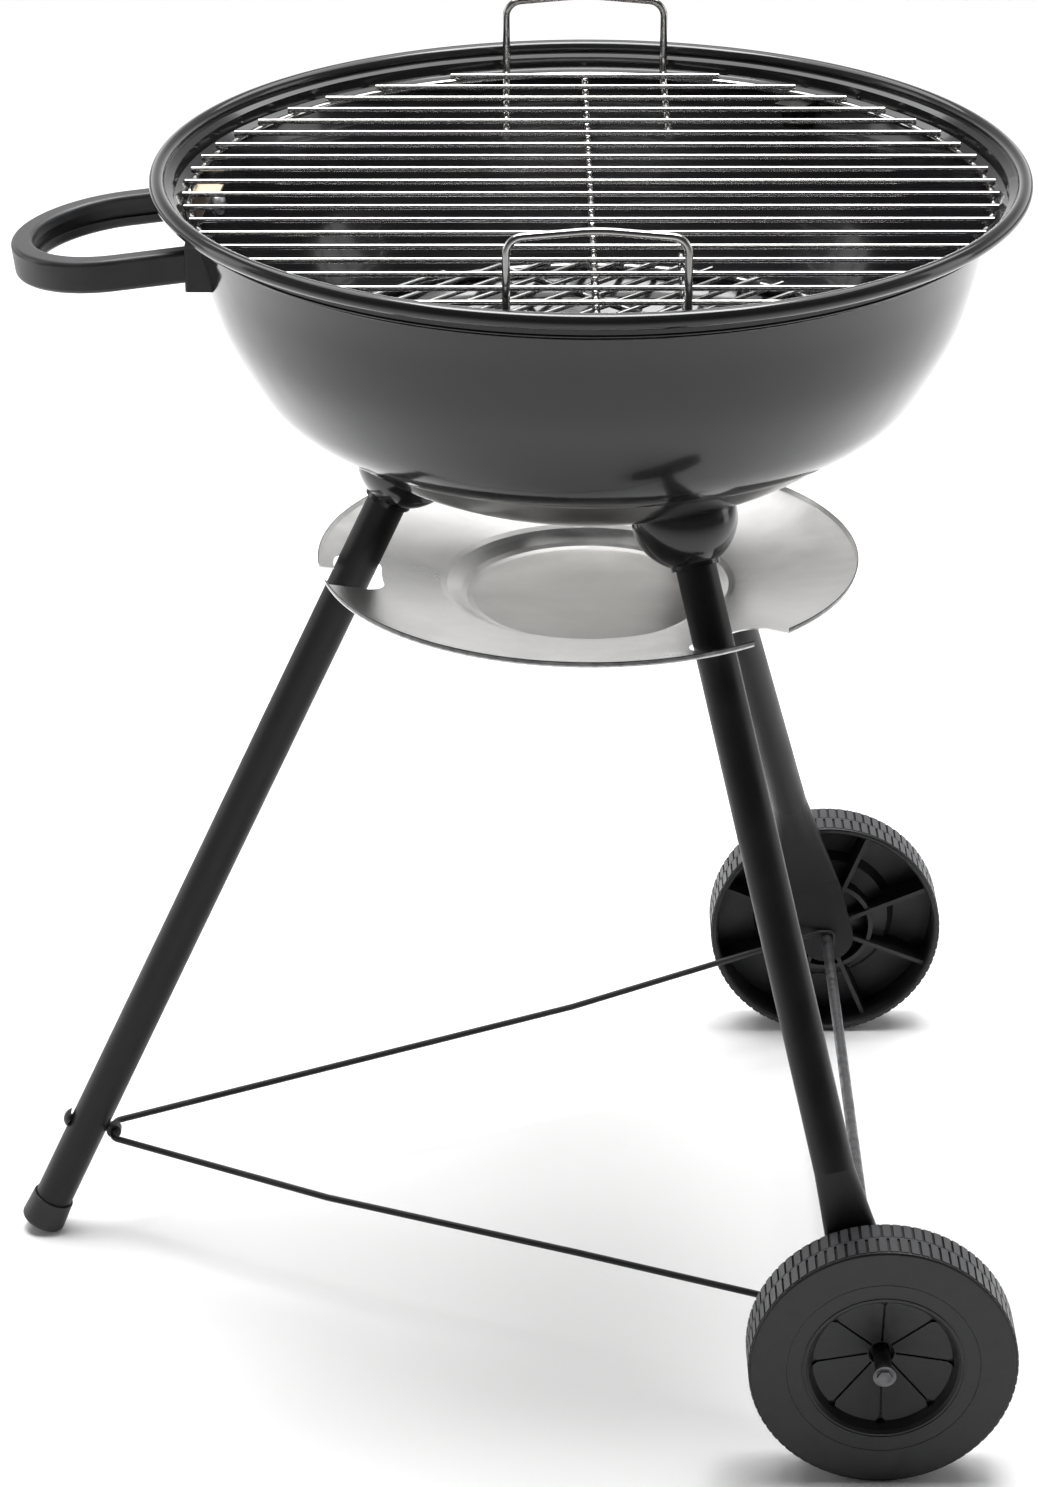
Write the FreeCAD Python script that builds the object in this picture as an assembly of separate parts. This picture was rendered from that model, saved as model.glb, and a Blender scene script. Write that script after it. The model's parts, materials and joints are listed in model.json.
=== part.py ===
"""Kettle charcoal grill: bowl on three legs, two wheels, two grates, ash tray.

Millimetres, +Z up, real size. The grill stands on both wheels and on the cap of
the foot leg. Every shape is drawn round the bowl's upright axis, and all are
moved by AXIS_X when written, so the origin lies under the middle of the grill.
The side with the wheels is +X. "front" pieces lie at -Y, "rear" pieces at +Y.
"""

import math
import os

import FreeCAD
import Part

V = FreeCAD.Vector
UP = V(0, 0, 1)
ALONG_Y = V(0, 1, 0)

# Rim and bowl: radius from the axis, depth below the centre of the rolled bead
RIM_Z = 652.7
BEAD_R = 230.8
BEAD_WIRE_R = 4.2
BEAD_HOLLOW_R = 3.1
SHEET = 1.0
BAND = [(227.9, 2.3), (223.8, 4.2), (223.2, 10.5), (217.2, 14.0)]
SIDE = [(217.2, 14.0), (213.2, 26.0), (209.5, 40.0), (201.5, 70.0), (190.0, 95.0),
        (179.5, 112.0), (160.5, 127.5)]
LOWER = [(158.8, 128.0), (143.5, 139.2), (128.0, 149.5), (110.5, 158.0), (95.0, 164.6)]
FLOOR_BEND = [(95.0, 164.6), (90.6, 166.0), (86.0, 166.5)]
FLOOR_DEPTH = 166.5
RIDGES = [(223.6, 6.6), (223.3, 10.6), (217.4, 14.2), (174.8, 115.8), (171.6, 118.5)]
RIDGE_R = 0.7
AIR_HOLES = 6
AIR_HOLE_R = 8.0
AIR_HOLE_CIRCLE_R = 52.0
HOLE_PLAY = 0.2
HOLE_RUN = 6.0

# Legs: distance from the bowl's axis at LEG_REF_Z, and growth of it per mm down
TUBE_R = 11.0
TUBE_WALL = 1.2
LEG_REF_Z = 500.0
LEG_REF_R = 94.2
LEG_TOP_Z = 490.0
LEG_GAP = 3.0
FOOT_SLOPE = 0.4569
WHEEL_SLOPE = 0.5017
FOOT_AZIMUTH = 180.0
REAR_AZIMUTH = 60.0
FRONT_AZIMUTH = -60.0

# Cups that hold the legs, with the bolts that come through the bowl
CUP_R = 28.5
CUP_WALL = 1.5
COLLAR_R = 13.2
FIT = 0.05
BOLT_R = 3.0
BOLT_LENGTH = 24.0
BOLT_HEAD_R = 6.5
BOLT_HEAD_H = 3.6
DOME_FLAT = 0.12
WASHER_R = 9.0
WASHER_H = 1.2
SEAT_GAP = 0.9
PLUG_LENGTH = 25.0

# Cap of the foot leg: a slightly flared cylinder, square to the leg
CAP_TOP_R = 12.2
CAP_LOW_R = 13.1
CAP_TOP_Z = 20.7
CAP_LOW_Z = 4.0
CAP_TOP_EDGE_R = 0.5
CAP_LOW_EDGE_R = 2.5
CAP_GAP_R = 11.6
CAP_GAP_DEPTH = 1.0
TUBE_END_Z = 7.0

# Wheels and axle
WHEEL_R = 72.5
WHEEL_X = 156.3
WHEEL_FACE_Y = 267.7
WHEEL_WIDTH = 30.0
LUGS = 80
LUG_ROOT_R = 71.6
LUG_SHARE = 0.72
LUG_ROWS = [(1.4, 14.6, 0.0), (16.0, 28.6, 0.5)]
LUG_RIDGE = [(69.5, 14.6), (72.3, 14.6), (72.3, 16.0), (69.5, 16.0)]
AXLE_R = 3.25
WHEEL_BORE_R = 3.33
HUB_R = 14.0
HUB_POCKET_R = 7.0
HUB_POCKET_A = 22.0
RIM_WALL_R = 68.4
SPOKES = 8
RIB_T = 2.6
RIB_RING = (27.6, 30.4)
SLIT_W = 1.2
SLIT_DEPTH = 2.4
SLIT_R = (7.6, 35.0)
NOTCH_R = (34.0, 38.2)
NOTCH_HALF = 2.8
DISH = [(7.0, 15.2), (37.5, 7.0)]
NUT_SLEEVE_R = 4.6
NUT_FLANGE_R = 6.25
NUT_FLANGE_H = 1.5
NUT_FLATS_R = 3.6
NUT_HEX_H = 1.6
NUT_OUT = 8.0
NUT_GAP = 0.4
SPACER_R = 9.0
SPACER_GAP = (0.2, 0.4)

# Flattened lower ends of the wheel legs
BLADE_Y = 230.5
BLADE_HALF = 17.0
BLADE_T = 3.2
BEND_Z = 170.0
SQUASH = [(131.0, 14.6, 4.0), (106.0, 17.0, 1.6)]
SQUASH_ROUND = 0.5
BLADE_LAP = 2.0

# Brace of bent wire, held by an eye bolt in the foot leg and hooked over the axle
BRACE_WIRE_R = 1.9
BRACE_BOLT_Z = 70.4
BRACE_BOLT_FALL = 0.32
BRACE_BOLT_R = 2.35
BRACE_BOLT_REACH = 15.3
EYE_R = 4.3
EYE_T = 5.6
BRACE_APEX_Y = 10.0
BRACE_ROUTE = [(-148.0, 77.2, 65.2), (-5.3, 143.9, 69.0), (148.0, 225.2, 77.0)]
BRACE_BENDS = [6.0, 60.0, 60.0]
BRACE_THIN_LENGTH = 48.0
BRACE_TIP_R = 1.2
BRACE_STEP = 0.05
BRACE_LAP = 1.0
BRACE_HOOK_BENDS = [5.0, 3.2]
BRACE_HOOK_RUN = 4.6
BRACE_HOOK_DROP = 8.0
BRACE_NUT_R = 5.6
BRACE_NUT_H = 3.3
BRACE_NUT_STAND = 0.95
BRACE_NUT_THREAD = 1.6

# Ash tray
TRAY_Z = 429.8
TRAY_T = 0.8
TRAY = [(149.6, 3.4), (148.8, 0.2), (140.0, -1.5), (82.0, -13.9), (78.5, -15.1),
        (75.5, -16.9), (70.5, -20.3), (67.5, -21.8), (64.0, -22.4), (0.0, -22.4)]
TRAY_SLOT_Z = 426.9
SLOT_HALF = 13.2
SLOT_TURN = 10.3
MOUTH_HALF = 12.6

# Handle
HANDLE_X = -214.0
HANDLE_Z = 629.0
HANDLE_DROOP = 7.3
HANDLE_OUT_Y = 58.5
HANDLE_IN_Y = 47.5
HANDLE_REACH = 97.8
HANDLE_TIP = 12.0
HANDLE_H = 18.0
HANDLE_EDGE_R = 2.6
HANDLE_ROOT = -6.0
GROOVE = (6.0, 12.5, 2.0)
GROOVE_END = 4.0
BLOCK_X = 24.0
BLOCK_Y = (46.6, 59.6)
BLOCK_Z = (606.7, 630.5)
BLOCK_EDGE_R = 2.0
HANDLE_BOLT_Y = 53.0
HANDLE_BOLT_DEPTH = 34.0
HANDLE_BOLT_LENGTH = 10.0
HANDLE_BOLT_R = 2.5
HANDLE_BOLT_HEAD_R = 5.5
HANDLE_BOLT_HEAD_H = 3.4
HANDLE_WASHER_R = 7.5
HANDLE_SEAT_GAP = 0.3

# Cooking grate and its support tabs
GRATE_BAR_R = 1.5
GRATE_BARS = 20
GRATE_PITCH = 21.2
GRATE_RING_R = 214.5
GRATE_WIRE_R = 2.0
GRATE_BAR_DEPTH = 8.3
GRATE_RING_DEPTH = 11.8
GRATE_OVERHANG = 3.0
LIFT_X = 45.0
LIFT_Y = 205.4
LIFT_TAIL_Y = 100.0
LIFT_WIRE_R = 2.1
LIFT_HEIGHT = 46.0
LIFT_ARCH = 4.0
LIFT_CORNER_R = 9.0
LIFT_ARCH_R = 120.0
LIFT_FOOT_R = 3.9
WELD_GAP = 0.2
TAB_AZIMUTHS = (175.0, 55.0, -65.0)
TAB_HALF_ANGLE = 2.4
TAB_TOP_DEPTH = 14.2
TAB_T = 1.5
TAB_REACH_R = 199.0
TAB_FOLD_R = 205.0
TAB_FOLD_H = 6.0
TAB_FOOT_DEPTH = 30.0
WALL_PIERCE = 2.0
TAB_OUTER_R = 220.0

# Charcoal grate
COAL_BARS = 23
COAL_PITCH = 15.0
COAL_TURN = 45.0
COAL_RING_R = 172.0
COAL_BAR_DEPTH = 109.6
COAL_RING_DEPTH = 113.1
COAL_OVERHANG = 2.0
COAL_CROSS = 86.0


def polar(radius, azimuth, z):
    """Point at a radius and an azimuth in degrees from the bowl's axis."""
    a = math.radians(azimuth)
    return V(radius * math.cos(a), radius * math.sin(a), z)


def leg_slope(azimuth):
    """Outward travel of a leg per millimetre of fall."""
    return FOOT_SLOPE if azimuth == FOOT_AZIMUTH else WHEEL_SLOPE


def leg_point(azimuth, z):
    """Point on a leg's axis at height z."""
    return polar(LEG_REF_R + (LEG_REF_Z - z) * leg_slope(azimuth), azimuth, z)


def leg_direction(azimuth):
    """Unit vector down along a leg."""
    return (leg_point(azimuth, 0.0) - leg_point(azimuth, LEG_REF_Z)).normalize()


def rod(start, end, radius):
    """Round bar between two points."""
    return Part.makeCylinder(radius, (end - start).Length, start, end - start)


def tube(start, end, radius, bore):
    """Round tube between two points."""
    return rod(start, end, radius).cut(rod(start, end, bore))


def ring(radius, wire_radius, z):
    """Level wire ring round the bowl's axis."""
    return Part.makeTorus(radius, wire_radius, V(0, 0, z), UP)


def hexagon(start, direction, flat_radius, length):
    """Hexagonal bar from a start point."""
    axis = V(direction).normalize()
    side = axis.cross(UP).normalize()
    other = axis.cross(side)
    corner = flat_radius / math.cos(math.pi / 6)
    points = []
    for i in range(7):
        a = i * math.pi / 3
        points.append(start + side * (corner * math.cos(a)) + other * (corner * math.sin(a)))
    return Part.Face(Part.makePolygon(points)).extrude(axis * length)


def dome(centre, direction, radius, height):
    """Low round bolt head, flat at its foot and, very slightly, at its top."""
    axis = V(direction).normalize()
    side = axis.cross(UP if abs(axis.z) < 0.9 else ALONG_Y).normalize()
    sphere_r = (radius * radius + height * height) / (2 * height)
    sphere_centre = centre - axis * (sphere_r - height)
    foot_angle = math.asin(radius / sphere_r)
    flat_angle = foot_angle * DOME_FLAT
    arc = []
    for angle in (foot_angle, (foot_angle + flat_angle) / 2, flat_angle):
        along = axis * (sphere_r * math.cos(angle))
        arc.append(sphere_centre + along + side * (sphere_r * math.sin(angle)))
    top = sphere_centre + axis * (sphere_r * math.cos(flat_angle))
    corners = [arc[2], top, centre, arc[0]]
    edges = [Part.Arc(*arc).toShape()]
    edges += [Part.LineSegment(a, b).toShape() for a, b in zip(corners, corners[1:])]
    return Part.Face(Part.Wire(edges)).revolve(centre, axis, 360)


def rounded_path(points, radii):
    """Wire through the points, with a tangent arc at each inner point."""
    edges = []
    last = points[0]
    for i, radius in enumerate(radii):
        corner = points[i + 1]
        back = (points[i] - corner).normalize()
        ahead = (points[i + 2] - corner).normalize()
        half = back.getAngle(ahead) / 2
        reach = radius / math.tan(half)
        start = corner + back * reach
        end = corner + ahead * reach
        bisector = (back + ahead).normalize()
        middle = corner + bisector * (radius / math.sin(half) - radius)
        edges.append(Part.LineSegment(last, start).toShape())
        edges.append(Part.Arc(start, middle, end).toShape())
        last = end
    edges.append(Part.LineSegment(last, points[-1]).toShape())
    return Part.Wire(edges)


def wire_along(path, radius):
    """Round wire swept along a path."""
    first = path.OrderedEdges[0]
    start = first.valueAt(first.FirstParameter)
    direction = first.tangentAt(first.FirstParameter)
    circle = Part.Wire(Part.Circle(start, direction, radius).toShape())
    return path.makePipeShell([circle], True, True)


def offset_side(points, distance, ends):
    """Points moved to the axis side of a profile; ends holds the outer directions."""
    moved = []
    count = len(points)
    for i, (r, d) in enumerate(points):
        normals = []
        for j in (i - 1, i):
            if 0 <= j < count - 1:
                dr = points[j + 1][0] - points[j][0]
                dd = points[j + 1][1] - points[j][1]
            elif ends[0 if j < 0 else 1] is None:
                continue
            else:
                dr, dd = ends[0 if j < 0 else 1]
            size = math.hypot(dr, dd)
            normals.append((-dd / size, dr / size))
        nr = sum(n[0] for n in normals)
        nd = sum(n[1] for n in normals)
        scale = distance * len(normals) / (nr * nr + nd * nd)
        if len(normals) == 1:
            scale = distance
        moved.append((r + nr * scale, d + nd * scale))
    return moved


def at_depth(points):
    """Profile points as vectors in the XZ plane."""
    return [V(r, 0, RIM_Z - d) for r, d in points]


def spline(points):
    """Smooth edge through profile points."""
    curve = Part.BSplineCurve()
    curve.interpolate(at_depth(points))
    return curve.toShape()


def chain(points):
    """Straight edges through profile points."""
    vectors = at_depth(points)
    return [Part.LineSegment(a, b).toShape() for a, b in zip(vectors, vectors[1:])]


def bowl_side(distance):
    """Edges of the bowl's outer face, moved inward by a distance."""
    if distance == 0:
        band, side, lower, bend = BAND, SIDE, LOWER, FLOOR_BEND
    else:
        run_in = (SIDE[1][0] - SIDE[0][0], SIDE[1][1] - SIDE[0][1])
        band = offset_side(BAND, distance, (None, run_in))
        run_up = (BAND[3][0] - BAND[2][0], BAND[3][1] - BAND[2][1])
        side = offset_side(SIDE, distance, (run_up, None))
        lower = offset_side(LOWER, distance, (None, None))
        bend = offset_side(FLOOR_BEND, distance, (None, (-1.0, 0.0)))
        bend[0] = lower[-1]
    floor = [bend[-1], (0.0, FLOOR_DEPTH - distance)]
    edges = chain(band)
    edges.append(spline(side))
    edges += chain([side[-1], lower[0]])
    edges.append(spline(lower))
    edges.append(Part.Arc(*at_depth(bend)).toShape())
    edges += chain(floor)
    return edges, band[0], floor[-1]


def revolved(edges, axis_point=V(0, 0, 0), axis=UP):
    """Solid of revolution from a closed set of edges."""
    wire = Part.Wire(Part.__sortEdges__(edges))
    return Part.Face(wire).revolve(axis_point, axis, 360)


def bowl_block():
    """The bowl's outer shape, filled: cuts whatever fits against the bowl."""
    edges, first, last = bowl_side(0)
    top = (0.0, -BEAD_WIRE_R)
    rim = (first[0], -BEAD_WIRE_R)
    edges += chain([last, top, rim, first])
    return revolved(edges)


def wall_line(depth):
    """Point on the outer wall at a depth below the rim, with its outward normal."""
    for (r0, d0), (r1, d1) in zip(SIDE, SIDE[1:]):
        if d0 <= depth <= d1:
            share = (depth - d0) / (d1 - d0)
            size = math.hypot(r1 - r0, d1 - d0)
            return r0 + (r1 - r0) * share, ((d1 - d0) / size, (r1 - r0) / size)
    return SIDE[-1][0], (1.0, 0.0)


def handle_bolt_frame(side):
    """Where a handle bolt crosses the wall, and its outward direction."""
    radius, (out, rise) = wall_line(HANDLE_BOLT_DEPTH)
    azimuth = 180.0 - side * math.degrees(math.asin(HANDLE_BOLT_Y / radius))
    point = polar(radius, azimuth, RIM_Z - HANDLE_BOLT_DEPTH)
    direction = polar(out, azimuth, rise)
    return point, direction


def make_bowl():
    """Enamelled sheet bowl with a rolled rim, ridges, air holes and bolt holes."""
    outer, outer_top, outer_end = bowl_side(0)
    inner, inner_top, inner_end = bowl_side(SHEET)
    wall = revolved(outer + inner + chain([outer_top, inner_top]) + chain([outer_end, inner_end]))
    bead = ring(BEAD_R, BEAD_WIRE_R, RIM_Z).cut(ring(BEAD_R, BEAD_HOLLOW_R, RIM_Z))
    ridges = [ring(r, RIDGE_R, RIM_Z - d) for r, d in RIDGES]
    bowl = wall.fuse([bead] + ridges)
    holes = []
    floor_z = RIM_Z - FLOOR_DEPTH
    for i in range(AIR_HOLES):
        azimuth = (i + 0.5) * 360.0 / AIR_HOLES
        foot = polar(AIR_HOLE_CIRCLE_R, azimuth, floor_z - SHEET)
        holes.append(Part.makeCylinder(AIR_HOLE_R, 4 * SHEET, foot, UP))
    for azimuth in (FOOT_AZIMUTH, FRONT_AZIMUTH, REAR_AZIMUTH):
        point = leg_point(azimuth, LEG_TOP_Z)
        down = leg_direction(azimuth)
        holes.append(rod(point - down * HOLE_RUN, point + down * HOLE_RUN, BOLT_R + HOLE_PLAY))
    for side in (-1, 1):
        point, out = handle_bolt_frame(side)
        holes.append(rod(point - out * HOLE_RUN, point + out * HOLE_RUN, HANDLE_BOLT_R + HOLE_PLAY))
    return bowl.cut(holes)


def make_socket(azimuth, block):
    """Round cup under the bowl with a collar for the leg tube."""
    centre = leg_point(azimuth, LEG_TOP_Z)
    down = leg_direction(azimuth)
    shell = Part.makeSphere(CUP_R, centre).cut(Part.makeSphere(CUP_R - CUP_WALL, centre))
    collar = rod(centre, centre + down * (CUP_R - CUP_WALL / 2), COLLAR_R)
    bore = rod(centre - down * CUP_R, centre + down * (2 * CUP_R), TUBE_R + FIT)
    return shell.fuse(collar).cut([bore, block])


def make_foot_leg():
    """Straight tube from the bowl to the cap, drilled for the brace bolt."""
    top = leg_point(FOOT_AZIMUTH, LEG_TOP_Z) + leg_direction(FOOT_AZIMUTH) * LEG_GAP
    end = leg_point(FOOT_AZIMUTH, TUBE_END_Z)
    point, across = brace_bolt_frame()
    reach = across * (2 * TUBE_R)
    hole = rod(point - reach, point + reach, BRACE_BOLT_R + 2 * FIT)
    return tube(top, end, TUBE_R, TUBE_R - TUBE_WALL).cut(hole)


def section(centre, wide, deep, half_wide, half_deep, round_share):
    """Closed four-arc outline: a circle, or a circle pressed flat."""
    if round_share == 1:
        a = half_wide / math.sqrt(2)
        b = half_deep / math.sqrt(2)
    else:
        a = half_wide - 0.9 * half_deep
        b = half_deep * (0.72 + 0.2 * (1 - round_share))
    corners = [(a, -b), (a, b), (-a, b), (-a, -b)]
    middles = [(half_wide, 0.0), (0.0, half_deep), (-half_wide, 0.0), (0.0, -half_deep)]
    edges = []
    for i in range(4):
        start = centre + wide * corners[i][0] + deep * corners[i][1]
        middle = centre + wide * middles[i][0] + deep * middles[i][1]
        last = corners[(i + 1) % 4]
        end = centre + wide * last[0] + deep * last[1]
        edges.append(Part.Arc(start, middle, end).toShape())
    return Part.Wire(edges)


def make_wheel_leg(azimuth):
    """Tube pressed flat at its lower end, with a hole for the axle."""
    side = 1 if azimuth > 0 else -1
    top = leg_point(azimuth, LEG_TOP_Z) + leg_direction(azimuth) * LEG_GAP
    bend = leg_point(azimuth, BEND_Z)
    straight = tube(top, bend, TUBE_R, TUBE_R - TUBE_WALL)
    axle = V(WHEEL_X, side * BLADE_Y, WHEEL_R)
    lean = V(bend.x - axle.x, 0, bend.z - axle.z).normalize()
    wide = V(lean.z, 0, -lean.x)
    deep = ALONG_Y * side
    down = leg_direction(azimuth)
    start_wide = (wide - down * wide.dot(down)).normalize()
    start_deep = down.cross(start_wide) * side
    if start_deep.dot(deep) < 0:
        start_deep = start_deep * -1
    outlines = [section(bend, start_wide, start_deep, TUBE_R, TUBE_R, 1)]
    for z, half_wide, half_deep in SQUASH:
        centre = axle + lean * ((z - axle.z) / lean.z)
        outlines.append(section(centre, wide, deep, half_wide, half_deep, SQUASH_ROUND))
    squashed = Part.makeLoft(outlines, True, False)
    low_z = SQUASH[-1][0] + BLADE_LAP
    upper = axle + lean * ((low_z - axle.z) / lean.z)
    half_t = ALONG_Y * (BLADE_T / 2)
    corners = [axle - wide * BLADE_HALF, upper - wide * BLADE_HALF]
    corners += [upper + wide * BLADE_HALF, axle + wide * BLADE_HALF, axle - wide * BLADE_HALF]
    plate = Part.Face(Part.makePolygon([c - half_t for c in corners])).extrude(half_t * 2)
    tip = rod(axle - half_t, axle + half_t, BLADE_HALF)
    hole = rod(axle - half_t * 3, axle + half_t * 3, AXLE_R + FIT)
    return straight.fuse([squashed, plate, tip]).cut(hole).removeSplitter()


def make_plugs():
    """Round nuts inside the leg tubes, for the socket bolts."""
    plugs = []
    for azimuth in (FOOT_AZIMUTH, FRONT_AZIMUTH, REAR_AZIMUTH):
        down = leg_direction(azimuth)
        start = leg_point(azimuth, LEG_TOP_Z) + down * LEG_GAP
        end = start + down * PLUG_LENGTH
        plugs.append(tube(start, end, TUBE_R - TUBE_WALL - FIT, BOLT_R + FIT))
    return plugs


def make_socket_bolts():
    """Round-headed bolts from inside the bowl into the leg plugs."""
    bolts = []
    for azimuth in (FOOT_AZIMUTH, FRONT_AZIMUTH, REAR_AZIMUTH):
        down = leg_direction(azimuth)
        seat = leg_point(azimuth, LEG_TOP_Z) - down * (SHEET + SEAT_GAP + WASHER_H)
        shank = rod(seat, seat + down * BOLT_LENGTH, BOLT_R)
        bolts.append(shank.fuse(dome(seat, down * -1, BOLT_HEAD_R, BOLT_HEAD_H)))
    return bolts


def make_socket_washers():
    """Washers under the heads of the socket bolts."""
    washers = []
    for azimuth in (FOOT_AZIMUTH, FRONT_AZIMUTH, REAR_AZIMUTH):
        down = leg_direction(azimuth)
        low = leg_point(azimuth, LEG_TOP_Z) - down * (SHEET + SEAT_GAP)
        washers.append(tube(low - down * WASHER_H, low, WASHER_R, BOLT_R + FIT))
    return washers


def make_foot_cap():
    """Plastic cap on the foot leg, worn to a small level sole at its lowest edge."""
    down = leg_direction(FOOT_AZIMUTH)
    top = leg_point(FOOT_AZIMUTH, CAP_TOP_Z)
    low = leg_point(FOOT_AZIMUTH, CAP_LOW_Z)
    body = Part.makeCone(CAP_TOP_R, CAP_LOW_R, (low - top).Length, top, down)
    rims = sorted(body.Edges, key=lambda edge: edge.CenterOfMass.z)
    body = body.makeFillet(CAP_LOW_EDGE_R, [rims[0]])
    rims = sorted(body.Edges, key=lambda edge: edge.CenterOfMass.z)
    body = body.makeFillet(CAP_TOP_EDGE_R, [rims[-1]])
    bore = rod(top - down, leg_point(FOOT_AZIMUTH, TUBE_END_Z), TUBE_R + FIT)
    gap = rod(top - down, top + down * CAP_GAP_DEPTH, CAP_GAP_R)
    size = 4 * CAP_LOW_R
    ground = Part.makeBox(size, size, size, V(low.x - size / 2, -size / 2, -size))
    return body.cut([bore, gap, ground])


def brace_bolt_frame():
    """Point of the eye bolt on the foot leg's axis, and its inward direction."""
    return leg_point(FOOT_AZIMUTH, BRACE_BOLT_Z), V(1, 0, -BRACE_BOLT_FALL).normalize()


def make_brace_bolt():
    """Eye bolt through the foot leg; the brace runs through its eye."""
    point, across = brace_bolt_frame()
    start = point - across * (TUBE_R + BRACE_NUT_STAND + BRACE_NUT_THREAD)
    centre = point + across * BRACE_BOLT_REACH
    half = ALONG_Y * (EYE_T / 2)
    shank = rod(start, centre - across * (EYE_R - 1.0), BRACE_BOLT_R)
    eye = rod(centre - half, centre + half, EYE_R)
    hole = rod(centre - half * 2, centre + half * 2, BRACE_WIRE_R + FIT)
    return shank.fuse(eye).cut(hole)


def make_brace_nut():
    """Round cap nut on the outer end of the eye bolt."""
    point, across = brace_bolt_frame()
    foot = point - across * (TUBE_R + BRACE_NUT_STAND)
    bore = rod(point, foot - across * (BRACE_NUT_THREAD + FIT), BRACE_BOLT_R + FIT)
    return dome(foot, across * -1, BRACE_NUT_R, BRACE_NUT_H).cut(bore)


def make_brace():
    """Bent wire from axle end to axle end, thinned where it hooks over the axle."""
    point, across = brace_bolt_frame()
    apex = point + across * BRACE_BOLT_REACH
    pieces = []
    for side in (-1, 1):
        route = [V(x, side * y, z) for x, y, z in BRACE_ROUTE]
        tip = route[-1]
        ahead = (tip - route[-2]).normalize()
        route[-1] = tip - ahead * BRACE_THIN_LENGTH
        points = [apex, apex + ALONG_Y * (side * BRACE_APEX_Y)] + route
        pieces.append(wire_along(rounded_path(points, BRACE_BENDS), BRACE_WIRE_R))
        thin = (BRACE_WIRE_R - BRACE_STEP, BRACE_TIP_R + BRACE_STEP)
        start = route[-1] - ahead * BRACE_LAP
        pieces.append(Part.makeCone(*thin, (tip - start).Length, start, ahead))
        pieces.append(wire_along(hook_path(tip, ahead), BRACE_TIP_R))
    return pieces[0].fuse(pieces[1:])


def hook_path(tip, ahead):
    """Centre line of the hook that lies on the axle and drops behind it."""
    over = tip + ahead * BRACE_HOOK_RUN
    behind = WHEEL_X + AXLE_R + BRACE_TIP_R + FIT
    corner = V(behind, over.y, over.z)
    end = V(behind, over.y, over.z - BRACE_HOOK_DROP)
    return rounded_path([tip - ahead * BRACE_LAP, over, corner, end], BRACE_HOOK_BENDS)


def make_axle():
    """Rod that carries both wheels."""
    reach = WHEEL_FACE_Y + NUT_OUT - NUT_FLANGE_H
    return rod(V(WHEEL_X, -reach, WHEEL_R), V(WHEEL_X, reach, WHEEL_R), AXLE_R)


def make_axle_spacers():
    """Washers between the wheel legs and the wheels."""
    spacers = []
    start = BLADE_Y + BLADE_T / 2 + SPACER_GAP[0]
    end = WHEEL_FACE_Y - WHEEL_WIDTH - SPACER_GAP[1]
    for side in (-1, 1):
        a = V(WHEEL_X, side * start, WHEEL_R)
        b = V(WHEEL_X, side * end, WHEEL_R)
        spacers.append(tube(a, b, SPACER_R, AXLE_R + FIT))
    return spacers


def make_axle_nuts():
    """Flanged sleeve nuts, with a hexagon on the end, that hold the wheels on."""
    nuts = []
    for side in (-1, 1):
        out = ALONG_Y * side
        inner = V(WHEEL_X, side * (WHEEL_FACE_Y - HUB_POCKET_A + NUT_GAP), WHEEL_R)
        face = V(WHEEL_X, side * (WHEEL_FACE_Y + NUT_OUT), WHEEL_R)
        sleeve = rod(inner, face, NUT_SLEEVE_R)
        flange = rod(face - out * NUT_FLANGE_H, face, NUT_FLANGE_R)
        head = hexagon(face - out, out, NUT_FLATS_R, NUT_HEX_H + 1.0)
        bore = rod(inner - out, face - out * (NUT_FLANGE_H - FIT), AXLE_R + FIT)
        nuts.append(sleeve.fuse([flange, head]).cut(bore))
    return nuts


def lug_row(start, end, shift):
    """One row of tread lugs as a toothed ring, in the wheel's own frame."""
    pitch = 2 * math.pi / LUGS
    points = []
    for i in range(LUGS):
        a = (i + shift) * pitch
        b = a + LUG_SHARE * pitch
        for angle, radius in ((a, LUG_ROOT_R), (a, WHEEL_R), (b, WHEEL_R), (b, LUG_ROOT_R)):
            points.append(V(radius * math.sin(angle), start, -radius * math.cos(angle)))
    points.append(points[0])
    hole = Part.Wire(Part.Circle(V(0, start, 0), ALONG_Y, LUG_ROOT_R - 3).toShape())
    face = Part.Face([Part.makePolygon(points), hole])
    return face.extrude(ALONG_Y * (end - start))


def wheel_ring(points):
    """Solid of revolution about the wheel's axis from (radius, inset) points."""
    outline = [V(r, a, 0) for r, a in points + points[:1]]
    return Part.Face(Part.makePolygon(outline)).revolve(V(0, 0, 0), ALONG_Y, 360)


def turned(shape, angle):
    """A copy of a shape turned about the wheel's axis."""
    copy = shape.copy()
    copy.rotate(V(0, 0, 0), ALONG_Y, angle)
    return copy


def dish_inset(radius):
    """Inset of the wheel's dished face at a radius."""
    (r0, a0), (r1, a1) = DISH
    return a0 + (a1 - a0) * (radius - r0) / (r1 - r0)


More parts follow.
